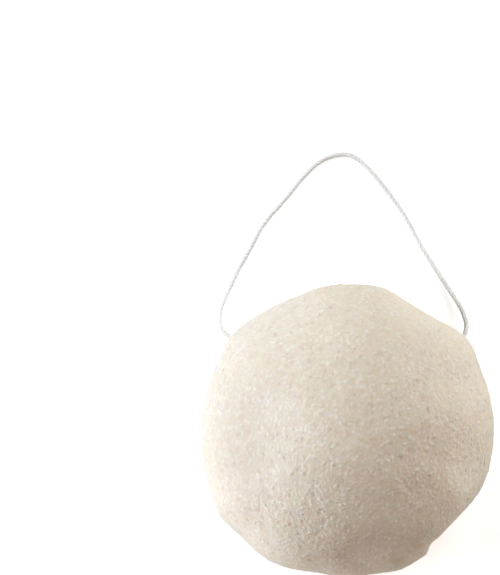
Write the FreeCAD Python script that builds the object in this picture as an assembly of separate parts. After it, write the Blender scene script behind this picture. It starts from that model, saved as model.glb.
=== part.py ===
import FreeCAD
import Part
import math
import os

# Konjac face sponge: a moulded half-ball puff with a cotton hanging cord threaded through it.
# Millimetres, +Z up. The puff lies on its flat face, with the middle of that face at the origin,
# and the loop of the cord lies on the same surface, towards +Y.

# The puff: a half ball of fibre foam with a flat foot and a rounded edge. Its belly is its widest level.
PUFF_DIAMETER = 79.2
PUFF_HEIGHT = 44.0
BELLY_HEIGHT = 13.0
FOOT_INSET = 10.0

# Lumps and flats of the hand-wrung outline: bearing from +X and half width in degrees, share of the radius.
OUTLINE_LUMP_SHARES = (
    (37, 14, 0.030),
    (59, 23, -0.038),
    (76, 12, 0.012),
    (113, 16, -0.020),
    (140, 16, 0.026),
    (205, 45, 0.016),
    (213, 15, 0.040),
    (238, 22, 0.040),
    (293, 14, 0.016),
)

# The notch in the rim: the bearings where it starts, is full, starts to fade and ends, and its share of the
# radius. It fades out this fast above and below the belly.
NOTCH_BEARINGS = (302.5, 307.5, 314.0, 340.0)
NOTCH_SHARE = -0.052
NOTCH_FADE = 16

# Dimples and folds of the dome: bearing and level on the dome in degrees, half width of each, share.
DOME_DIMPLE_SHARES = (
    (123, 53, 30, 18, -0.020),
    (350, 58, 42, 22, -0.045),
    (331, 36, 20, 18, 0.022),
    (240, 46, 24, 16, -0.018),
    (283, 34, 38, 13, -0.030),
)

# Broad dents and swells of the dome, seen from above: place across, run from front to back, half width
# and height in millimetres. They come in between these two heights, so that the belly's outline stays.
DOME_RELIEF = (
    (-26.0, -11.0, 6.5, 15.0, -2.4),
    (-22.5, 0.5, 0.5, 14.0, -0.8),
    (-3.5, -6.0, -6.0, 15.0, 1.1),
    (-5.0, 6.0, 6.0, 10.0, 0.4),
    (-11.0, -26.0, -26.0, 15.0, 0.8),
    (-10.5, -21.5, -21.5, 10.0, -0.4),
    (26.5, 16.5, 16.5, 15.0, -1.3),
    (34.0, -11.0, -11.0, 15.0, -0.9),
    (23.5, -7.0, -7.0, 14.0, -0.7),
    (20.0, -15.0, -15.0, 7.0, -0.6),
    (17.5, -16.0, -10.0, 14.0, -0.9),
    (16.0, -22.5, -22.5, 14.0, -1.2),
    (22.0, -27.5, -27.5, 9.0, 0.5),
    (29.0, -16.0, -16.0, 8.0, 0.4),
    (12.0, -34.5, -34.5, 7.0, 0.5),
    (0.5, -30.5, -30.5, 14.0, -0.4),
)
RELIEF_FADE_HEIGHTS = (12.0, 19.0)

# Levels of the rings that the skin goes through, in degrees: -90 is the foot, 0 the belly and 90 the crown.
# The last ring closes with a small flat.
RING_LEVELS = (-90, -75, -60, -45, -30, -15, 0, 10, 20, 30, 40, 50, 60, 70, 80, 87)
POINTS_PER_RING = 120

# The tunnel that the cord is threaded through, a chord of the puff along X, with flared mouths
# and a pocket in the middle for the knot.
TUNNEL_OFFSET = 24.2
TUNNEL_HEIGHT = 6.0
TUNNEL_CLEARANCE = 0.1
MOUTH_DEPTH = 2.6
MOUTH_FLARE = 1.2
POCKET_CLEARANCE = 0.3

# The cord: cotton string, tied into a loop by a knot inside the puff, with a cut end each side of it.
CORD_DIAMETER = 1.2
CORD_LIFT = 0.1
KNOT_LENGTH = 4.6
KNOT_DIAMETER = 4.4
KNOT_END_DIAMETER = 3.8
TAIL_LENGTH = 7.0
TAIL_GAP = 0.1

# The free loop starts in the tunnel, this far inside each mouth.
LOOP_START_DEPTH = 3.8

# Route of the free loop. Each leg goes from its mouth to the top of the loop: millimetres outwards from
# where the tunnel leaves the puff and forwards from the tunnel, then the share of the tunnel's height that
# is left of the drop to the surface.
LEFT_LEG_ROUTE = (
    (0.8, 0.0, 1.00),
    (4.3, 3.4, 0.82),
    (4.2, 8.2, 0.36),
    (2.1, 13.0, 0.06),
    (-0.5, 18.8, 0.00),
    (-4.2, 25.2, 0.00),
    (-7.4, 31.8, 0.00),
    (-13.5, 38.4, 0.00),
    (-18.8, 45.2, 0.00),
    (-24.1, 50.5, 0.00),
)
RIGHT_LEG_ROUTE = (
    (0.8, 0.0, 1.00),
    (2.9, 3.9, 0.82),
    (1.2, 8.6, 0.36),
    (-2.0, 13.2, 0.06),
    (-5.6, 18.4, 0.00),
    (-9.8, 25.3, 0.00),
    (-13.2, 32.4, 0.00),
    (-18.1, 40.0, 0.00),
    (-23.3, 47.0, 0.00),
    (-29.2, 51.8, 0.00),
)

# An arc of the cord takes up this share of the shorter of its two runs.
ARC_SHARE = 0.45
CUT_OVERRUN = 3.0

X_AXIS = FreeCAD.Vector(1, 0, 0)


def bell(offset, half_width):
    """Height of a unit lump this many degrees from its middle: 1 at the middle, 0 past its edge."""
    turn = (offset + 180) % 360 - 180
    if abs(turn) >= half_width:
        return 0.0
    return (1 + math.cos(math.pi * turn / half_width)) / 2


def eased(share):
    """Smooth step: 0 up to a share of 0, 1 from a share of 1."""
    held = min(max(share, 0.0), 1.0)
    return held * held * (3 - 2 * held)


def notch_at(bearing):
    """Share of the radius that the notch takes at a bearing: a steep step, then a long way back."""
    start, full, fading, end = NOTCH_BEARINGS
    return NOTCH_SHARE * eased((bearing - start) / (full - start)) * eased((end - bearing) / (end - fading))


def relief_at(x, y):
    """Height of the dents and swells together at a place on the dome, seen from above."""
    total = 0.0
    for across, front, back, half_width, height in DOME_RELIEF:
        past_end = max(front - y, y - back, 0)
        total += height * eased(1 - math.hypot(x - across, past_end) / half_width)
    return total


def puff_point(bearing, level):
    """Point of the puff's skin at a bearing round it and a level from its foot to its crown."""
    out, up = math.cos(math.radians(level)), math.sin(math.radians(level))
    swell = 1 + out * sum(share * bell(bearing - at, width) for at, width, share in OUTLINE_LUMP_SHARES)
    swell += out**NOTCH_FADE * notch_at(bearing)
    for at, dimple_level, width, level_width, share in DOME_DIMPLE_SHARES:
        swell += share * bell(bearing - at, width) * bell(level - dimple_level, level_width)
    if level < 0:
        radius = PUFF_DIAMETER / 2 - FOOT_INSET * (1 - out)
        height = BELLY_HEIGHT * (1 + up)
    else:
        radius = PUFF_DIAMETER / 2 * out
        height = BELLY_HEIGHT + (PUFF_HEIGHT - BELLY_HEIGHT) * up
    turn = math.radians(bearing)
    point = FreeCAD.Vector(radius * swell * math.cos(turn), radius * swell * math.sin(turn), height)
    if level <= 0:
        return point
    low, high = RELIEF_FADE_HEIGHTS
    lift = relief_at(point.x, point.y) * eased((height - low) / (high - low))
    slope = FreeCAD.Vector(out / (PUFF_DIAMETER / 2), 0, up / (PUFF_HEIGHT - BELLY_HEIGHT)).normalize()
    return point + FreeCAD.Vector(slope.x * math.cos(turn), slope.x * math.sin(turn), slope.z) * lift


def smooth_ring(level):
    """Smooth closed curve round the puff at one level."""
    turns = [step / POINTS_PER_RING for step in range(POINTS_PER_RING + 1)]
    points = [puff_point(360 * turn, level) for turn in turns[:-1]]
    if level == RING_LEVELS[-1]:
        height = sum(point.z for point in points) / POINTS_PER_RING
        points = [FreeCAD.Vector(point.x, point.y, height) for point in points]
    ring = Part.BSplineCurve()
    ring.interpolate(Points=points, Parameters=turns, PeriodicFlag=True)
    return ring


def smooth_rib(points):
    """Smooth curve from the foot to the crown through one control point of each ring."""
    rib = Part.BSplineCurve()
    rib.interpolate(Points=list(points), Parameters=[float(level) for level in RING_LEVELS])
    return rib


def puff_blank():
    """The half ball without its tunnel: a closed skin, a flat foot and a small flat at the crown."""
    rings = [smooth_ring(level) for level in RING_LEVELS]
    ribs = [smooth_rib(points) for points in zip(*(ring.getPoles() for ring in rings))]
    skin = Part.BSplineSurface()
    skin.buildFromPolesMultsKnots(
        [rib.getPoles() for rib in ribs],
        rings[0].getMultiplicities(),
        ribs[0].getMultiplicities(),
        rings[0].getKnots(),
        ribs[0].getKnots(),
        True,
        False,
        rings[0].Degree,
        ribs[0].Degree,
    )
    side = skin.toShape()
    caps = [Part.Face(Part.Wire([edge])) for edge in side.Edges if edge.isClosed()]
    shell = Part.makeShell([side] + caps)
    shell.sewShape()
    blank = Part.makeSolid(shell)
    box = blank.optimalBoundingBox()
    blank.translate(FreeCAD.Vector(-box.Center.x, -box.Center.y, 0))
    return blank


def tunnel_point(x):
    """Point on the tunnel's axis."""
    return FreeCAD.Vector(x, TUNNEL_OFFSET, TUNNEL_HEIGHT)


def rod(start_x, end_x, radius):
    """Round bar along the tunnel's axis."""
    return Part.makeCylinder(radius, end_x - start_x, tunnel_point(start_x), X_AXIS)


def mouth(exit_x, outwards):
    """Flare that opens the tunnel to the puff's side, a cone that runs on past the skin."""
    tunnel_radius = CORD_DIAMETER / 2 + TUNNEL_CLEARANCE
    length = MOUTH_DEPTH + CUT_OVERRUN
    open_radius = tunnel_radius + MOUTH_FLARE * length / MOUTH_DEPTH
    foot = tunnel_point(exit_x - outwards * MOUTH_DEPTH)
    return Part.makeCone(tunnel_radius, open_radius, length, foot, X_AXIS * outwards)


def make_puff(blank, left_exit, right_exit):
    """The half ball with its tunnel, two flared mouths and knot pocket."""
    tunnel = rod(
        left_exit - CUT_OVERRUN, right_exit + CUT_OVERRUN, CORD_DIAMETER / 2 + TUNNEL_CLEARANCE
    )
    pocket_half = KNOT_LENGTH / 2 + TAIL_LENGTH + POCKET_CLEARANCE
    pocket = rod(-pocket_half, pocket_half, KNOT_DIAMETER / 2 + POCKET_CLEARANCE)
    return blank.cut([tunnel, pocket, mouth(left_exit, -1), mouth(right_exit, 1)])


def make_knot():
    """The knot drawn tight: a barrel round the tunnel's axis with a flat face at each end."""
    half = KNOT_LENGTH / 2
    rim = FreeCAD.Vector(0, 0, KNOT_END_DIAMETER / 2)
    left_rim, right_rim = tunnel_point(-half) + rim, tunnel_point(half) + rim
    bulge = Part.Arc(left_rim, tunnel_point(0) + FreeCAD.Vector(0, 0, KNOT_DIAMETER / 2), right_rim)
    outline = [
        Part.makeLine(tunnel_point(-half), left_rim),
        bulge.toShape(),
        Part.makeLine(right_rim, tunnel_point(half)),
        Part.makeLine(tunnel_point(half), tunnel_point(-half)),
    ]
    return Part.Face(Part.Wire(outline)).revolve(tunnel_point(0), X_AXIS, 360)


def make_tail(side):
    """Cut end of the cord beside the threaded run, left (-1) under it or right (1) over it."""
    offset = FreeCAD.Vector(0, 0, side * (CORD_DIAMETER + TAIL_GAP))
    start = tunnel_point(side * KNOT_LENGTH / 2) + offset
    return Part.makeCylinder(CORD_DIAMETER / 2, TAIL_LENGTH, start, X_AXIS * side)


def leg_points(route, exit_x, outwards):
    """Points of one leg in the part's frame, from its mouth to the top of the loop."""
    floor = CORD_DIAMETER / 2 + CORD_LIFT
    return [
        FreeCAD.Vector(
            exit_x + outwards * out, TUNNEL_OFFSET + forwards, floor + (TUNNEL_HEIGHT - floor) * height_share
        )
        for out, forwards, height_share in route
    ]


def loop_points(left_exit, right_exit):
    """The whole route of the free loop, from inside the left mouth to inside the right one."""
    left_leg = leg_points(LEFT_LEG_ROUTE, left_exit, -1)
    right_leg = leg_points(RIGHT_LEG_ROUTE, right_exit, 1)
    start, end = tunnel_point(left_exit + LOOP_START_DEPTH), tunnel_point(right_exit - LOOP_START_DEPTH)
    return [start] + left_leg + right_leg[::-1] + [end]


def make_loop(points):
    """Tube along straight runs joined by tangent arcs, each as large as its two runs allow."""
    edges = []
    radii = []
    last = points[0]
    for before, corner, after in zip(points, points[1:], points[2:]):
        run_in, run_out = corner - before, after - corner
        half_turn = run_in.getAngle(run_out) / 2
        trim = ARC_SHARE * min(run_in.Length, run_out.Length)
        radii.append(trim / math.tan(half_turn))
        inwards = FreeCAD.Vector(run_out).normalize() - FreeCAD.Vector(run_in).normalize()
        middle = corner + inwards.normalize() * (radii[-1] / math.cos(half_turn) - radii[-1])
        start = corner - FreeCAD.Vector(run_in).normalize() * trim
        end = corner + FreeCAD.Vector(run_out).normalize() * trim
        edges += [Part.LineSegment(last, start).toShape(), Part.Arc(start, middle, end).toShape()]
        last = end
    edges.append(Part.LineSegment(last, points[-1]).toShape())
    path = Part.Wire(edges)
    section = Part.Wire(Part.makeCircle(CORD_DIAMETER / 2, points[0], points[1] - points[0]))
    tube = path.makePipeShell([section], True, False)
    section_area = math.pi * (CORD_DIAMETER / 2) ** 2
    print("loop radii", [round(radius, 1) for radius in radii])
    print("loop length", round(path.Length, 2))
    print("tube volume over section times length", round(tube.Volume / (section_area * path.Length), 5))
    return tube


blank = puff_blank()
threading_line = Part.makeLine(tunnel_point(-PUFF_DIAMETER), tunnel_point(PUFF_DIAMETER))
threaded = blank.common(threading_line).BoundBox
left_exit, right_exit = threaded.XMin, threaded.XMax
route = loop_points(left_exit, right_exit)

parts = {
    "sponge_puff": make_puff(blank, left_exit, right_exit),
    "cord_loop": make_loop(route),
    "threaded_run_left": rod(route[0].x, -KNOT_LENGTH / 2, CORD_DIAMETER / 2),
    "threaded_run_right": rod(KNOT_LENGTH / 2, route[-1].x, CORD_DIAMETER / 2),
    "cord_knot": make_knot(),
    "knot_tail_left": make_tail(-1),
    "knot_tail_right": make_tail(1),
}

os.makedirs("parts", exist_ok=True)
for name, shape in parts.items():
    print(name, "valid", shape.isValid(), "solids", len(shape.Solids), "volume", round(shape.Volume, 2))
    shape.exportStep(f"parts/{name}.step")
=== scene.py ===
import math

import bmesh
import bpy
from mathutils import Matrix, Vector


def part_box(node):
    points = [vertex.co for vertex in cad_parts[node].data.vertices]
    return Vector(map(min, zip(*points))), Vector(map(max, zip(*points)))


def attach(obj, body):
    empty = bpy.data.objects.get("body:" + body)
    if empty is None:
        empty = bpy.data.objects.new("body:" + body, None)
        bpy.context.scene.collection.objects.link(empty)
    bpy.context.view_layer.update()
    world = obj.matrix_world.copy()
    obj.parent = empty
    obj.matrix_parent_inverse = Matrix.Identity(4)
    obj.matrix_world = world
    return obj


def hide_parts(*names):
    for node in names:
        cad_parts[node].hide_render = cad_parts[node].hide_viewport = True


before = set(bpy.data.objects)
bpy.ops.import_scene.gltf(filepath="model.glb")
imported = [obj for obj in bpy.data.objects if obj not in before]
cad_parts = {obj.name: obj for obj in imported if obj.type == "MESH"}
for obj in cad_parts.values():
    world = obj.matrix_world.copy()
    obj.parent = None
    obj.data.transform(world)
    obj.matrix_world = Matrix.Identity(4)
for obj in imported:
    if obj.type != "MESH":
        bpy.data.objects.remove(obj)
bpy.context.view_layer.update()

bpy.context.scene.view_settings.view_transform = "Standard"

# The puff: a half ball of konjac root fibre, foamed, set in a mould, frozen and wrung out by hand,
# so it is lumpy, with a flat back. Its skin is a mat of fine curled strands with pores between them.

# Sizes of the puff's skin in metres, then how many loose strands lie on it, and its seed.
PUFF_VOXEL = 0.0005
TUFT_SPACING = 0.00118
TUFT_HEIGHT = 0.00023
CURL_SPACING = 0.0009
CURL_HEIGHT = 0.00006
PORE_SPACING = 0.0023
PORE_DEPTH = 0.00010
LUMP_SPACING = 0.0085
LUMP_HEIGHT = 0.00020
STRAND_LENGTH = 0.0010
STRAND_THICKNESS = 0.00010
STRANDS_PER_SQUARE_METRE = 2.6e5
SKIN_SEED = 4.0

# Layers of bead-like tufts: shift of their pattern, share of the spacing and share of the height. The
# pattern is drawn a little longer towards the loop than across. A tuft's flank runs between these shares
# of the spacing, and its height is the first share and up to the second one more.
TUFT_LAYERS = (
    (0.0, 1.00, 1.00),
    (0.37, 0.66, 0.55),
)
TUFT_DRAW = (1.04, 0.96, 1.0)
TUFT_FLANK = (0.05, 0.62)
TUFT_HEIGHT_SHARES = (0.4, 0.6)

# Curled layers of the mat: own seed, share of the spacing, and how much of the noise one curl takes up.
# A coarser noise stirs the mat: the share of its scale, and how far it pushes, in spacings.
CURL_LAYERS = (
    (0.0, 1.00, 0.10),
    (11.3, 0.74, 0.09),
    (23.9, 1.31, 0.07),
)
STIR_SCALE_SHARE = 0.45
STIR_SPACINGS = 1.6

# The flank of a pore, in shares of the spacing; how far the noise of the lumps is stretched to fill its
# range; and the shares of tufts and pores in the painted shade that darkens a hollow.
PORE_FLANK = (0.08, 0.42)
LUMP_STRETCH = 4.0
HOLLOW_SHADE_FROM_TUFTS = 0.7
HOLLOW_SHADE_FROM_PORES = 0.3

# Loose strands: how each shape bows at its two handles and lifts off, how far both ends dip into the skin,
# all in lengths; the range of sizes; and the seeds of their places, turns and sizes.
STRAND_SHAPES = (
    ((0.35, -0.35), 0.06),
    ((0.45, 0.40), 0.08),
    ((0.15, -0.55), 0.05),
)
STRAND_DIP = 0.06
STRAND_SIZES = (0.55, 1.35)
STREW_SEED = 7
TURN_SEED = 3
SIZE_SEED = 5

# Where the skin starts and ends to move: metres above the flat back for the lumps, metres from the
# tunnel's middle for all; and how far down a face may look and still carry strands.
BACK_FADE = (0.001, 0.008)
TUNNEL_FADE = (0.0012, 0.0034)
LOWEST_FACING = -0.6

# Patches where the tufts are higher, seen from above: middle, half width and share of the height; and
# their share of the height elsewhere.
ROUGH_PATCHES = (
    ((-0.0130, -0.0190), 0.0180, 1.22),
    ((-0.0120, -0.0040), 0.0170, 0.92),
    ((0.0240, -0.0030), 0.0320, 1.00),
)
SMOOTH_SHARE = 0.54

# A soft ridge that wringing left on the right side: its place across at the puff's middle, its lean, its
# half width and height, and where it starts, is highest and ends from front to back.
RIDGE_PLACE = 0.0217
RIDGE_LEAN = 0.13
RIDGE_HALF_WIDTH = 0.0105
RIDGE_HEIGHT = 0.0009
RIDGE_RUN = (-0.033, -0.022, 0.020)

# Colours of the dry foam: its strands, their duller patches, and the painted shade, darker and warmer, in
# the hollows between them. Noise per metre of the patches and of the grain, the grain's depth, and how
# deep light gets into the foam.
FOAM_CREAM = (0.902, 0.845, 0.757, 1)
FOAM_DULL = (0.862, 0.804, 0.701, 1)
FOAM_HOLLOW_SHADE = (0.785, 0.687, 0.556, 1)
FOAM_PATCHES_PER_METRE = 90.0
FOAM_GRAIN_PER_METRE = 3600.0
FOAM_GRAIN_DEPTH = 0.00012
FOAM_LIGHT_DEPTH = 0.006


def add_node(tree, kind, inputs=None, **options):
    """Adds a node, sets its options, and gives each numbered or named input a value or a link."""
    node = tree.nodes.new(kind)
    for option, value in options.items():
        setattr(node, option, value)
    for key, value in (inputs or {}).items():
        if isinstance(value, bpy.types.NodeSocket):
            tree.links.new(value, node.inputs[key])
        else:
            node.inputs[key].default_value = value
    return node


def number(tree, operation, *values):
    """Result of a sum on numbers."""
    return add_node(tree, "ShaderNodeMath", dict(enumerate(values)), operation=operation).outputs[0]


def vector(tree, operation, *values):
    """Result of a sum on vectors."""
    node = add_node(tree, "ShaderNodeVectorMath", dict(enumerate(values)), operation=operation)
    return node.outputs["Value" if operation in ("LENGTH", "DISTANCE") else "Vector"]


def grown(tree, direction, length):
    """A vector made longer or shorter by a number."""
    node = add_node(tree, "ShaderNodeVectorMath", {0: direction, "Scale": length}, operation="SCALE")
    return node.outputs["Vector"]


def eased(tree, value, low, high, at_low=0.0, at_high=1.0):
    """Smooth step of a number from low to high."""
    inputs = {0: value, 1: low, 2: high, 3: at_low, 4: at_high}
    return add_node(tree, "ShaderNodeMapRange", inputs, interpolation_type="SMOOTHSTEP").outputs[0]


def new_tree(name, sizes):
    """A Geometry Nodes tree with a named input for each size, and its input and output nodes."""
    tree = bpy.data.node_groups.new(name, "GeometryNodeTree")
    tree.interface.new_socket(name="Geometry", in_out="INPUT", socket_type="NodeSocketGeometry")
    tree.interface.new_socket(name="Geometry", in_out="OUTPUT", socket_type="NodeSocketGeometry")
    for size in sizes:
        tree.interface.new_socket(name=size, in_out="INPUT", socket_type="NodeSocketFloat")
    tree.interface.new_socket(name="Finish", in_out="INPUT", socket_type="NodeSocketMaterial")
    return tree, tree.nodes.new("NodeGroupInput").outputs, tree.nodes.new("NodeGroupOutput").inputs


def add_tree(piece, tree, values):
    """Puts a Geometry Nodes tree on a piece and sets its inputs."""
    modifier = piece.modifiers.new(tree.name, "NODES")
    modifier.node_group = tree
    for socket in tree.interface.items_tree:
        if socket.in_out == "INPUT" and socket.name in values:
            modifier[socket.identifier] = values[socket.name]


def settle(piece):
    """Turns a piece and its modifiers into one plain mesh."""
    view = bpy.context.evaluated_depsgraph_get()
    mesh = bpy.data.meshes.new_from_object(
        piece.evaluated_get(view), preserve_all_data_layers=True, depsgraph=view
    )
    piece.modifiers.clear()
    piece.data = mesh


def strand_shape(tree, bow, lift, thickness):
    """A short curled strand of unit length that dips into the skin at both ends."""
    line = add_node(
        tree,
        "GeometryNodeCurvePrimitiveBezierSegment",
        {
            "Resolution": 5,
            "Start": (-0.5, 0, -STRAND_DIP),
            "Start Handle": (-0.2, bow[0], lift),
            "End Handle": (0.2, bow[1], lift),
            "End": (0.5, 0, -STRAND_DIP),
        },
    )
    ring = add_node(tree, "GeometryNodeCurvePrimitiveCircle", {"Resolution": 3, "Radius": thickness})
    tube = add_node(
        tree,
        "GeometryNodeCurveToMesh",
        {"Curve": line.outputs[0], "Profile Curve": ring.outputs[0], "Fill Caps": True},
    )
    return add_node(tree, "GeometryNodeGeometryToInstance", {0: tube.outputs[0]}).outputs[0]


def foam_skin(tunnel_y, tunnel_z):
    """The puff's skin: broad lumps, pores, bead-like tufts, a mat of curls, and loose strands on it."""
    sizes = ("Tuft Spacing", "Tuft Height", "Curl Spacing", "Curl Height", "Pore Spacing", "Pore Depth")
    sizes += ("Lump Spacing", "Lump Height", "Strand Length", "Strand Thickness", "Strand Density", "Seed")
    tree, given, result = new_tree("foam_skin", sizes)
    place = add_node(tree, "GeometryNodeInputPosition").outputs[0]
    outwards = add_node(tree, "GeometryNodeInputNormal").outputs[0]
    axes = add_node(tree, "ShaderNodeSeparateXYZ", {0: place}).outputs

    # The mat: the lines where a noise passes its middle are long curls, and the highest layer shows.
    curl_scale = number(tree, "DIVIDE", 1.0, given["Curl Spacing"])
    stir = add_node(
        tree,
        "ShaderNodeTexNoise",
        {
            "Vector": place,
            "W": given["Seed"],
            "Scale": number(tree, "MULTIPLY", curl_scale, STIR_SCALE_SHARE),
            "Detail": 1.0,
        },
        noise_dimensions="4D",
    )
    push = vector(tree, "SUBTRACT", stir.outputs[1], (0.5, 0.5, 0.5))
    push_length = number(tree, "MULTIPLY", given["Curl Spacing"], STIR_SPACINGS)
    stirred = vector(tree, "ADD", place, grown(tree, push, push_length))
    mat = 0.0
    for own_seed, spacing_share, width in CURL_LAYERS:
        noise = add_node(
            tree,
            "ShaderNodeTexNoise",
            {
                "Vector": stirred,
                "W": number(tree, "ADD", given["Seed"], own_seed),
                "Scale": number(tree, "DIVIDE", curl_scale, spacing_share),
                "Detail": 0.0,
            },
            noise_dimensions="4D",
        )
        off_line = number(tree, "ABSOLUTE", number(tree, "SUBTRACT", noise.outputs[0], 0.5))
        mat = number(tree, "MAXIMUM", mat, eased(tree, off_line, 0.0, width, 1.0, 0.0))

    # Tufts: beads of uneven height. The higher layer shows.
    least, more = TUFT_HEIGHT_SHARES
    tuft_scale = number(tree, "DIVIDE", 1.0, given["Tuft Spacing"])
    tufts = 0.0
    for shift, spacing_share, height_share in TUFT_LAYERS:
        drawn = vector(tree, "MULTIPLY_ADD", stirred, TUFT_DRAW, (shift, shift, shift))
        cells = add_node(
            tree,
            "ShaderNodeTexVoronoi",
            {"Vector": drawn, "Scale": number(tree, "DIVIDE", tuft_scale, spacing_share), "Randomness": 1.0},
        )
        own = add_node(tree, "ShaderNodeSeparateXYZ", {0: cells.outputs["Color"]}).outputs[0]
        bead = eased(tree, cells.outputs["Distance"], *TUFT_FLANK, 1.0, 0.0)
        height = number(tree, "MULTIPLY_ADD", own, more * height_share, least * height_share)
        bead = number(tree, "MULTIPLY", bead, height)
        tufts = number(tree, "MAXIMUM", tufts, bead)

    # Pores: small pits among the curls.
    pore_scale = number(tree, "DIVIDE", 1.0, given["Pore Spacing"])
    pores = add_node(
        tree,
        "ShaderNodeTexVoronoi",
        {"Vector": stirred, "Scale": pore_scale, "Randomness": 1.0},
    )
    pit = eased(tree, pores.outputs["Distance"], *PORE_FLANK, 1.0, 0.0)

    # Lumps and the ridge: they fade out towards the flat back, which stays on its surface.
    lump_scale = number(tree, "DIVIDE", 1.0, given["Lump Spacing"])
    lumps = add_node(
        tree,
        "ShaderNodeTexNoise",
        {"Vector": place, "W": given["Seed"], "Scale": lump_scale, "Detail": 2.0, "Roughness": 0.55},
        noise_dimensions="4D",
    )
    swell = number(tree, "MULTIPLY", number(tree, "SUBTRACT", lumps.outputs[0], 0.5), given["Lump Height"])
    swell = number(tree, "MULTIPLY", swell, LUMP_STRETCH)
    above = add_node(tree, "ShaderNodeCombineXYZ", {0: axes[0], 1: axes[1], 2: 0.0}).outputs[0]
    crest = number(tree, "MULTIPLY_ADD", axes[1], RIDGE_LEAN, RIDGE_PLACE)
    off_crest = number(tree, "ABSOLUTE", number(tree, "SUBTRACT", axes[0], crest))
    ridge = eased(tree, off_crest, 0.0, RIDGE_HALF_WIDTH, RIDGE_HEIGHT, 0.0)
    front, top, back = RIDGE_RUN
    ridge = number(tree, "MULTIPLY", ridge, eased(tree, axes[1], front, top))
    ridge = number(tree, "MULTIPLY", ridge, eased(tree, axes[1], top, back, 1.0, 0.0))
    swell = number(tree, "ADD", swell, ridge)
    swell = number(tree, "MULTIPLY", swell, eased(tree, axes[2], *BACK_FADE))

    # The skin stays as it is in the tunnel and round its mouths.
    forwards = number(tree, "SUBTRACT", axes[1], tunnel_y)
    upwards = number(tree, "SUBTRACT", axes[2], tunnel_z)
    off_tunnel = add_node(tree, "ShaderNodeCombineXYZ", {0: 0.0, 1: forwards, 2: upwards}).outputs[0]
    clear = eased(tree, vector(tree, "LENGTH", off_tunnel), *TUNNEL_FADE)
    rise = number(tree, "MULTIPLY", number(tree, "SUBTRACT", mat, 1.0), given["Curl Height"])
    rise = number(tree, "SUBTRACT", rise, number(tree, "MULTIPLY", pit, given["Pore Depth"]))
    roughness = SMOOTH_SHARE
    for middle, half_width, share in ROUGH_PATCHES:
        off_middle = vector(tree, "DISTANCE", above, (*middle, 0.0))
        patch = eased(tree, off_middle, 0.3 * half_width, half_width, share, SMOOTH_SHARE)
        roughness = number(tree, "MAXIMUM", roughness, patch)
    depth = number(tree, "MULTIPLY", number(tree, "SUBTRACT", tufts, 1.0), given["Tuft Height"])
    rise = number(tree, "MULTIPLY", number(tree, "ADD", rise, depth), roughness)
    rise = number(tree, "MULTIPLY", number(tree, "ADD", rise, swell), clear)
    # Painted shade: the hollows between the tufts and in the pores are marked, and the finish colours them
    # darker and warmer.
    hollow_shade = number(tree, "MULTIPLY", number(tree, "SUBTRACT", 1.0, tufts), HOLLOW_SHADE_FROM_TUFTS)
    hollow_shade = number(tree, "ADD", hollow_shade, number(tree, "MULTIPLY", pit, HOLLOW_SHADE_FROM_PORES))
    marked = add_node(
        tree,
        "GeometryNodeStoreNamedAttribute",
        {"Geometry": given["Geometry"], "Name": "hollow_shade", "Value": hollow_shade},
        data_type="FLOAT",
        domain="POINT",
    )
    skin = add_node(
        tree,
        "GeometryNodeSetPosition",
        {"Geometry": marked.outputs[0], "Offset": grown(tree, outwards, rise)},
    ).outputs[0]

    # Loose strands: three shapes, strewn at random over the dome, most where it is rough.
    facing = add_node(tree, "ShaderNodeSeparateXYZ", {0: outwards}).outputs[2]
    on_dome = number(tree, "GREATER_THAN", facing, LOWEST_FACING)
    off_mouths = number(tree, "GREATER_THAN", clear, 0.9)
    carries = number(tree, "MULTIPLY", on_dome, off_mouths)
    denser = number(tree, "MULTIPLY", given["Strand Density"], number(tree, "POWER", roughness, 2.0))
    strewn = add_node(
        tree,
        "GeometryNodeDistributePointsOnFaces",
        {"Mesh": skin, "Selection": carries, "Density": denser, "Seed": STREW_SEED},
    )
    double_length = number(tree, "MULTIPLY", given["Strand Length"], 2.0)
    slim = number(tree, "DIVIDE", given["Strand Thickness"], double_length)
    shapes = add_node(tree, "GeometryNodeJoinGeometry")
    for bow, lift in STRAND_SHAPES:
        tree.links.new(strand_shape(tree, bow, lift, slim), shapes.inputs[0])
    turn = add_node(
        tree, "FunctionNodeRandomValue", {2: 0.0, 3: 2 * math.pi, "Seed": TURN_SEED}, data_type="FLOAT"
    )
    spin = add_node(
        tree, "FunctionNodeAxisAngleToRotation", {"Axis": (0, 0, 1), "Angle": turn.outputs[1]}
    )
    lie = add_node(
        tree,
        "FunctionNodeRotateRotation",
        {0: strewn.outputs["Rotation"], 1: spin.outputs[0]},
        rotation_space="LOCAL",
    )
    smallest, largest = STRAND_SIZES
    size = add_node(
        tree, "FunctionNodeRandomValue", {2: smallest, 3: largest, "Seed": SIZE_SEED}, data_type="FLOAT"
    )
    strands = add_node(
        tree,
        "GeometryNodeInstanceOnPoints",
        {
            "Points": strewn.outputs["Points"],
            "Instance": shapes.outputs[0],
            "Pick Instance": True,
            "Rotation": lie.outputs[0],
            "Scale": number(tree, "MULTIPLY", size.outputs[1], given["Strand Length"]),
        },
    )
    both = add_node(tree, "GeometryNodeJoinGeometry", {0: skin})
    tree.links.new(strands.outputs[0], both.inputs[0])
    real = add_node(tree, "GeometryNodeRealizeInstances", {0: both.outputs[0]})
    smooth = add_node(tree, "GeometryNodeSetShadeSmooth", {0: real.outputs[0]})
    made = add_node(tree, "GeometryNodeSetMaterial", {0: smooth.outputs[0], "Material": given["Finish"]})
    tree.links.new(made.outputs[0], result[0])
    return tree


def new_finish(name):
    """A material with a shader, its tree, and the coordinates of the object it is on."""
    finish = bpy.data.materials.new(name)
    finish.use_nodes = True
    tree = finish.node_tree
    return finish, tree, tree.nodes["Principled BSDF"], add_node(tree, "ShaderNodeTexCoord").outputs["Object"]


def blended(tree, share, first, second):
    """Colour between two colours."""
    node = add_node(tree, "ShaderNodeMix", {0: share, 6: first, 7: second}, data_type="RGBA")
    return node.outputs[2]


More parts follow.
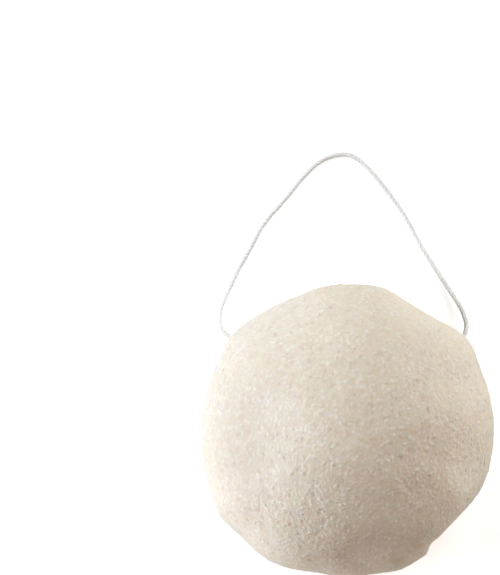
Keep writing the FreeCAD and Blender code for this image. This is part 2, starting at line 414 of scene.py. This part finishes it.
def foam_finish():
    """Dry konjac foam: cream strands, duller patches, painted shade in the hollows, a fine grain."""
    finish, tree, shader, place = new_finish("konjac_foam")
    patches = add_node(
        tree, "ShaderNodeTexNoise", {"Vector": place, "Scale": FOAM_PATCHES_PER_METRE, "Detail": 3.0}
    )
    cream = blended(tree, eased(tree, patches.outputs[0], 0.35, 0.65), FOAM_CREAM, FOAM_DULL)
    # Painted shade: the marked hollows are turned darker and warmer.
    hollow_shade = add_node(tree, "ShaderNodeAttribute", attribute_name="hollow_shade").outputs["Fac"]
    toned = blended(tree, eased(tree, hollow_shade, 0.15, 0.95), cream, FOAM_HOLLOW_SHADE)
    tree.links.new(toned, shader.inputs["Base Color"])
    grain = add_node(
        tree, "ShaderNodeTexNoise", {"Vector": place, "Scale": FOAM_GRAIN_PER_METRE, "Detail": 2.0}
    )
    bump = add_node(
        tree, "ShaderNodeBump", {"Strength": 0.35, "Distance": FOAM_GRAIN_DEPTH, "Height": grain.outputs[0]}
    )
    tree.links.new(bump.outputs[0], shader.inputs["Normal"])
    shader.inputs["Roughness"].default_value = 0.92
    shader.inputs["Specular IOR Level"].default_value = 0.2
    shader.inputs["Sheen Weight"].default_value = 0.12
    shader.inputs["Sheen Roughness"].default_value = 0.6
    shader.inputs["Subsurface Weight"].default_value = 0.4
    shader.inputs["Subsurface Radius"].default_value = (1.0, 0.6, 0.35)
    shader.inputs["Subsurface Scale"].default_value = FOAM_LIGHT_DEPTH
    return finish


puff_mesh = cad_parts["sponge_puff"].data.copy()
joined = bmesh.new()
joined.from_mesh(puff_mesh)
bmesh.ops.remove_doubles(joined, verts=joined.verts, dist=1e-6)
joined.to_mesh(puff_mesh)
joined.free()
puff = bpy.data.objects.new("konjac_puff", puff_mesh)
bpy.context.scene.collection.objects.link(puff)
even = puff.modifiers.new("even_skin", "REMESH")
even.mode = "VOXEL"
even.voxel_size = PUFF_VOXEL
soft = puff.modifiers.new("soft_skin", "SMOOTH")
soft.factor = 0.5
soft.iterations = 6
finer = puff.modifiers.new("finer_skin", "SUBSURF")
finer.levels = 1
finer.render_levels = 1
run_low, run_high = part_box("threaded_run_left")
tunnel_middle = (run_low + run_high) / 2
add_tree(
    puff,
    foam_skin(tunnel_middle.y, tunnel_middle.z),
    {
        "Tuft Spacing": TUFT_SPACING,
        "Tuft Height": TUFT_HEIGHT,
        "Curl Spacing": CURL_SPACING,
        "Curl Height": CURL_HEIGHT,
        "Pore Spacing": PORE_SPACING,
        "Pore Depth": PORE_DEPTH,
        "Lump Spacing": LUMP_SPACING,
        "Lump Height": LUMP_HEIGHT,
        "Strand Length": STRAND_LENGTH,
        "Strand Thickness": STRAND_THICKNESS,
        "Strand Density": STRANDS_PER_SQUARE_METRE,
        "Seed": SKIN_SEED,
        "Finish": foam_finish(),
    },
)
settle(puff)
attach(puff, "sponge")
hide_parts("sponge_puff")

# The threaded part of the cord: two straight runs in the puff's tunnel, the knot that closes the loop
# and its two cut ends. Plain cotton string, twisted from three plies, pulled through with a needle.

# Number of plies, pitch of their twist in metres, colours of the cotton and of the painted shade in the
# furrows between its plies, and the lint on it in noise per metre.
PLY_COUNT = 3
TWIST_PITCH = 0.0036
COTTON_WHITE = (0.955, 0.955, 0.945, 1)
COTTON_LINT_AND_GROOVE_SHADE = (0.87, 0.865, 0.85, 1)
THREADED_LINT_PER_METRE = 5200.0


def threaded_cotton_finish(axis_y, axis_z):
    """Twisted cotton string that runs along X at the tunnel's place, with painted shade in its furrows."""
    finish, tree, shader, place = new_finish("threaded_cotton")
    axes = add_node(tree, "ShaderNodeSeparateXYZ", {0: place}).outputs
    across = number(tree, "SUBTRACT", axes[1], axis_y)
    up = number(tree, "SUBTRACT", axes[2], axis_z)
    around = number(tree, "ARCTAN2", up, across)
    advance = number(tree, "MULTIPLY", axes[0], 2 * math.pi / TWIST_PITCH)
    ply = number(tree, "COSINE", number(tree, "MULTIPLY_ADD", around, PLY_COUNT, advance))
    # Painted shade: the furrows between the plies are darker.
    furrow_shade = eased(tree, ply, -0.2, -1.0)
    tree.links.new(blended(tree, furrow_shade, COTTON_WHITE, COTTON_LINT_AND_GROOVE_SHADE), shader.inputs["Base Color"])
    lint = add_node(
        tree, "ShaderNodeTexNoise", {"Vector": place, "Scale": THREADED_LINT_PER_METRE, "Detail": 2.0}
    ).outputs[0]
    height = number(tree, "ADD", ply, number(tree, "MULTIPLY", lint, 0.6))
    bump = add_node(tree, "ShaderNodeBump", {"Strength": 0.6, "Distance": 0.00012, "Height": height})
    tree.links.new(bump.outputs[0], shader.inputs["Normal"])
    shader.inputs["Roughness"].default_value = 0.88
    shader.inputs["Specular IOR Level"].default_value = 0.25
    return finish


inner_cord_names = (
    "threaded_run_left",
    "threaded_run_right",
    "cord_knot",
    "knot_tail_left",
    "knot_tail_right",
)
threaded_cotton = threaded_cotton_finish(tunnel_middle.y, tunnel_middle.z)
for name in inner_cord_names:
    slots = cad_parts[name].data.materials
    slots.clear()
    slots.append(threaded_cotton)

# The hanging loop: the same cotton string, from one mouth of the tunnel to the other. It drops to the
# surface that the puff lies on and lies there in a loose, gently bent loop with a rounded top.

# Sizes in metres. The plies are pressed together, so their middles lie closer than two radii. The loop's
# line starts this deep behind each mouth, and lies this far off the surface.
CORD_DIAMETER = 0.0012
CORD_LIFT = 0.0001
LOOP_START_DEPTH = 0.0038
PLY_RADIUS = 0.00038
PLY_OFFSET = 0.00030
STEPS_PER_TWIST = 16

# The fibres of a ply: pitch in metres, how many wind round it, and how much the lint bends them; and the
# lint in noise per metre.
FIBRE_PITCH = 0.0011
FIBRES_ROUND_PLY = 5
FIBRE_BEND = 9.0
LINT_PER_METRE = 2600.0

# Each leg from its mouth to the loop's top: metres outwards from the mouth, metres forwards from the
# tunnel, and the share of the tunnel's height that is left of the drop.
LEFT_LEG = (
    (0.0008, 0.0000, 1.00),
    (0.0043, 0.0034, 0.82),
    (0.0042, 0.0082, 0.36),
    (0.0021, 0.0130, 0.06),
    (-0.0005, 0.0188, 0.00),
    (-0.0042, 0.0252, 0.00),
    (-0.0074, 0.0318, 0.00),
    (-0.0135, 0.0384, 0.00),
    (-0.0188, 0.0452, 0.00),
    (-0.0243, 0.0501, 0.00),
)
RIGHT_LEG = (
    (0.0008, 0.0000, 1.00),
    (0.0023, 0.0038, 0.82),
    (0.0008, 0.0086, 0.36),
    (-0.0022, 0.0132, 0.06),
    (-0.0056, 0.0184, 0.00),
    (-0.0102, 0.0253, 0.00),
    (-0.0137, 0.0324, 0.00),
    (-0.0189, 0.0400, 0.00),
    (-0.0245, 0.0470, 0.00),
    (-0.0298, 0.0512, 0.00),
)


def leg_points(leg, mouth_x, outwards):
    """Points of one leg, from its mouth to the top of the loop."""
    floor = CORD_DIAMETER / 2 + CORD_LIFT
    drop = tunnel_middle.z - floor
    return [
        Vector((mouth_x + outwards * out, tunnel_middle.y + forwards, floor + drop * height))
        for out, forwards, height in leg
    ]


def smooth_line(name, points):
    """Mesh line of the NURBS spline that has these control points."""
    curve = bpy.data.curves.new(name, "CURVE")
    curve.dimensions = "3D"
    curve.resolution_u = 24
    spline = curve.splines.new("NURBS")
    spline.points.add(len(points) - 1)
    for control, point in zip(spline.points, points):
        control.co = (*point, 1)
    spline.order_u = 3
    spline.use_endpoint_u = True
    holder = bpy.data.objects.new(name, curve)
    line = bpy.data.meshes.new_from_object(holder)
    bpy.data.objects.remove(holder)
    return line


def twisted_string():
    """Plies laid round a line: each is a round strand whose middle winds round the line."""
    sizes = ("Ply Radius", "Ply Offset", "Pitch", "Step")
    tree, given, result = new_tree("twisted_string", sizes)
    line = add_node(tree, "GeometryNodeMeshToCurve", {0: given["Geometry"]})
    even_line = add_node(
        tree, "GeometryNodeResampleCurve", {"Curve": line.outputs[0], "Length": given["Step"]}, mode="LENGTH"
    ).outputs[0]
    along = add_node(tree, "GeometryNodeSplineParameter").outputs["Length"]
    tangent = add_node(tree, "GeometryNodeInputTangent").outputs[0]
    side = add_node(tree, "GeometryNodeInputNormal").outputs[0]
    other_side = vector(tree, "CROSS_PRODUCT", tangent, side)
    advance = number(tree, "MULTIPLY", number(tree, "DIVIDE", along, given["Pitch"]), 2 * math.pi)
    ring = add_node(
        tree, "GeometryNodeCurvePrimitiveCircle", {"Resolution": 9, "Radius": given["Ply Radius"]}
    )
    share_round = add_node(tree, "GeometryNodeSplineParameter").outputs["Factor"]
    round_ring = add_node(
        tree,
        "GeometryNodeStoreNamedAttribute",
        {"Geometry": ring.outputs[0], "Name": "around", "Value": share_round},
        data_type="FLOAT",
        domain="POINT",
    )
    plies = add_node(tree, "GeometryNodeJoinGeometry")
    for ply in range(PLY_COUNT):
        turn = number(tree, "ADD", advance, 2 * math.pi * ply / PLY_COUNT)
        off = vector(
            tree,
            "ADD",
            grown(tree, side, number(tree, "COSINE", turn)),
            grown(tree, other_side, number(tree, "SINE", turn)),
        )
        marked = add_node(
            tree,
            "GeometryNodeStoreNamedAttribute",
            {"Geometry": even_line, "Name": "along", "Value": along},
            data_type="FLOAT",
            domain="POINT",
        )
        wound = add_node(
            tree,
            "GeometryNodeSetPosition",
            {"Geometry": marked.outputs[0], "Offset": grown(tree, off, given["Ply Offset"])},
        )
        strand = add_node(
            tree,
            "GeometryNodeCurveToMesh",
            {"Curve": wound.outputs[0], "Profile Curve": round_ring.outputs[0], "Fill Caps": True},
        )
        tree.links.new(strand.outputs[0], plies.inputs[0])
    real = add_node(tree, "GeometryNodeRealizeInstances", {0: plies.outputs[0]})
    smooth = add_node(tree, "GeometryNodeSetShadeSmooth", {0: real.outputs[0]})
    made = add_node(tree, "GeometryNodeSetMaterial", {0: smooth.outputs[0], "Material": given["Finish"]})
    tree.links.new(made.outputs[0], result[0])
    return tree


def cotton_finish():
    """Cotton string: fibres that wind round each ply, darker lint, painted shade between fibres, off-white.
    """
    finish, tree, shader, place = new_finish("cotton_string")
    along = add_node(tree, "ShaderNodeAttribute", attribute_name="along").outputs["Fac"]
    around = add_node(tree, "ShaderNodeAttribute", attribute_name="around").outputs["Fac"]
    lint = add_node(
        tree, "ShaderNodeTexNoise", {"Vector": place, "Scale": LINT_PER_METRE, "Detail": 3.0}
    ).outputs[0]
    advance = number(tree, "MULTIPLY", along, 2 * math.pi / FIBRE_PITCH)
    lines = number(tree, "MULTIPLY_ADD", around, 2 * math.pi * FIBRES_ROUND_PLY, advance)
    fibres = number(tree, "SINE", number(tree, "MULTIPLY_ADD", lint, FIBRE_BEND, lines))
    # Painted shade in the grooves between the fibres, mixed with darker random patches of lint.
    lint_and_groove_shade = eased(tree, number(tree, "ADD", fibres, number(tree, "MULTIPLY", lint, 2.0)), 1.6, -0.6)
    lint_and_groove_shade_share = number(tree, "MULTIPLY", lint_and_groove_shade, 0.4)
    tree.links.new(blended(tree, lint_and_groove_shade_share, COTTON_WHITE, COTTON_LINT_AND_GROOVE_SHADE), shader.inputs["Base Color"])
    bump = add_node(tree, "ShaderNodeBump", {"Strength": 0.35, "Distance": 0.00006, "Height": fibres})
    tree.links.new(bump.outputs[0], shader.inputs["Normal"])
    shader.inputs["Roughness"].default_value = 0.85
    shader.inputs["Specular IOR Level"].default_value = 0.25
    shader.inputs["Sheen Weight"].default_value = 0.6
    return finish


left_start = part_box("threaded_run_left")[0].x
right_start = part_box("threaded_run_right")[1].x
left_mouth = Vector((left_start - LOOP_START_DEPTH, tunnel_middle.y, tunnel_middle.z))
right_mouth = Vector((right_start + LOOP_START_DEPTH, tunnel_middle.y, tunnel_middle.z))
loop_route = [Vector((left_start, tunnel_middle.y, tunnel_middle.z))]
loop_route += leg_points(LEFT_LEG, left_mouth.x, -1)
loop_route += leg_points(RIGHT_LEG, right_mouth.x, 1)[::-1]
loop_route += [Vector((right_start, tunnel_middle.y, tunnel_middle.z))]
loop_line = smooth_line("hanging_loop", loop_route)
loop = bpy.data.objects.new("hanging_loop", loop_line)
bpy.context.scene.collection.objects.link(loop)
add_tree(
    loop,
    twisted_string(),
    {
        "Ply Radius": PLY_RADIUS,
        "Ply Offset": PLY_OFFSET,
        "Pitch": TWIST_PITCH,
        "Step": TWIST_PITCH / STEPS_PER_TWIST,
        "Finish": cotton_finish(),
    },
)
settle(loop)
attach(loop, "cord")
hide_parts("cord_loop")

# The floor: a plain pale sheet of paper under the puff and its loop. It is lifted to white where it is
# seen directly, and keeps a faint shadow of the puff.
FLOOR_HALF = 4.0
FLOOR_COLOUR = (0.90, 0.90, 0.89, 1)
FLOOR_LIFT = 0.55
BACKGROUND = (1, 1, 1, 1)


def seen_directly(tree):
    """1 for rays from the camera, a mirror or glass, and 0 for the light that falls on the object."""
    path = add_node(tree, "ShaderNodeLightPath").outputs
    seen = number(tree, "MAXIMUM", path["Is Camera Ray"], path["Is Glossy Ray"])
    return number(tree, "MAXIMUM", seen, path["Is Transmission Ray"])


def floor_finish():
    """Pale matt paper with a faint grain, lifted to white where it is seen directly."""
    finish, tree, shader, place = new_finish("floor_paper")
    grain = add_node(tree, "ShaderNodeTexNoise", {"Vector": place, "Scale": 900.0, "Detail": 2.0}).outputs[0]
    bump = add_node(tree, "ShaderNodeBump", {"Strength": 0.03, "Distance": 0.00005, "Height": grain})
    tree.links.new(bump.outputs[0], shader.inputs["Normal"])
    shader.inputs["Base Color"].default_value = FLOOR_COLOUR
    shader.inputs["Roughness"].default_value = 0.95
    shader.inputs["Specular IOR Level"].default_value = 0.0
    shader.inputs["Emission Color"].default_value = BACKGROUND
    lift = number(tree, "MULTIPLY", seen_directly(tree), FLOOR_LIFT)
    tree.links.new(lift, shader.inputs["Emission Strength"])
    return finish


floor_mesh = bpy.data.meshes.new("floor")
floor_mesh.from_pydata(
    [
        (-FLOOR_HALF, -FLOOR_HALF, 0),
        (FLOOR_HALF, -FLOOR_HALF, 0),
        (FLOOR_HALF, FLOOR_HALF, 0),
        (-FLOOR_HALF, FLOOR_HALF, 0),
    ],
    [],
    [(0, 1, 2, 3)],
)
floor_mesh.materials.append(floor_finish())
floor = bpy.data.objects.new("floor", floor_mesh)
bpy.context.scene.collection.objects.link(floor)

# The light: a low soft box at the left, one behind at the right, two weak warm ones from the front,
# and a weak even light from all round. Each box: place, width in metres, watts and colour.
WORLD_STRENGTH = 0.04
LIGHT_AIM = (0, 0, 0.015)
SOFT_BOXES = (
    ("left_box", (-0.846, 0.0, 0.308), 0.50, 8.3, (0.94, 1.0, 1.085)),
    ("back_right_box", (0.525, 0.565, 0.465), 0.60, 6.2, (1.0, 0.995, 0.975)),
    ("front_fill", (0.05, -0.62, 0.65), 0.50, 0.85, (1.0, 0.58, 0.28)),
    ("low_front_box", (0.40, -0.75, 0.16), 0.40, 0.75, (1.0, 0.90, 0.78)),
)

world = bpy.data.worlds.new("studio")
world.use_nodes = True
bpy.context.scene.world = world
sky = world.node_tree.nodes["Background"]
sky.inputs["Color"].default_value = BACKGROUND
shown_sky = seen_directly(world.node_tree)
sky_light = number(world.node_tree, "MULTIPLY", shown_sky, 1.0 - WORLD_STRENGTH)
world.node_tree.links.new(number(world.node_tree, "ADD", sky_light, WORLD_STRENGTH), sky.inputs["Strength"])
for name, place, width, watts, colour in SOFT_BOXES:
    lamp = bpy.data.lights.new(name, "AREA")
    lamp.shape = "SQUARE"
    lamp.size = width
    lamp.energy = watts
    lamp.color = colour
    box = bpy.data.objects.new(name, lamp)
    box.location = place
    box.rotation_euler = (Vector(LIGHT_AIM) - Vector(place)).to_track_quat("-Z", "Y").to_euler()
    box.visible_camera = False
    bpy.context.scene.collection.objects.link(box)

# The camera: straight above, a long way off with a long lens, the puff at the lower right of the picture.
CAMERA_PLACE = (-0.0263, 0.0386, 1.2)
CAMERA_LENS = 275.0
CAMERA_SENSOR = 36.0

lens = bpy.data.cameras.new("camera")
lens.lens = CAMERA_LENS
lens.sensor_width = CAMERA_SENSOR
camera = bpy.data.objects.new("camera", lens)
camera.location = CAMERA_PLACE
bpy.context.scene.collection.objects.link(camera)
bpy.context.scene.camera = camera

bpy.context.view_layer.update()
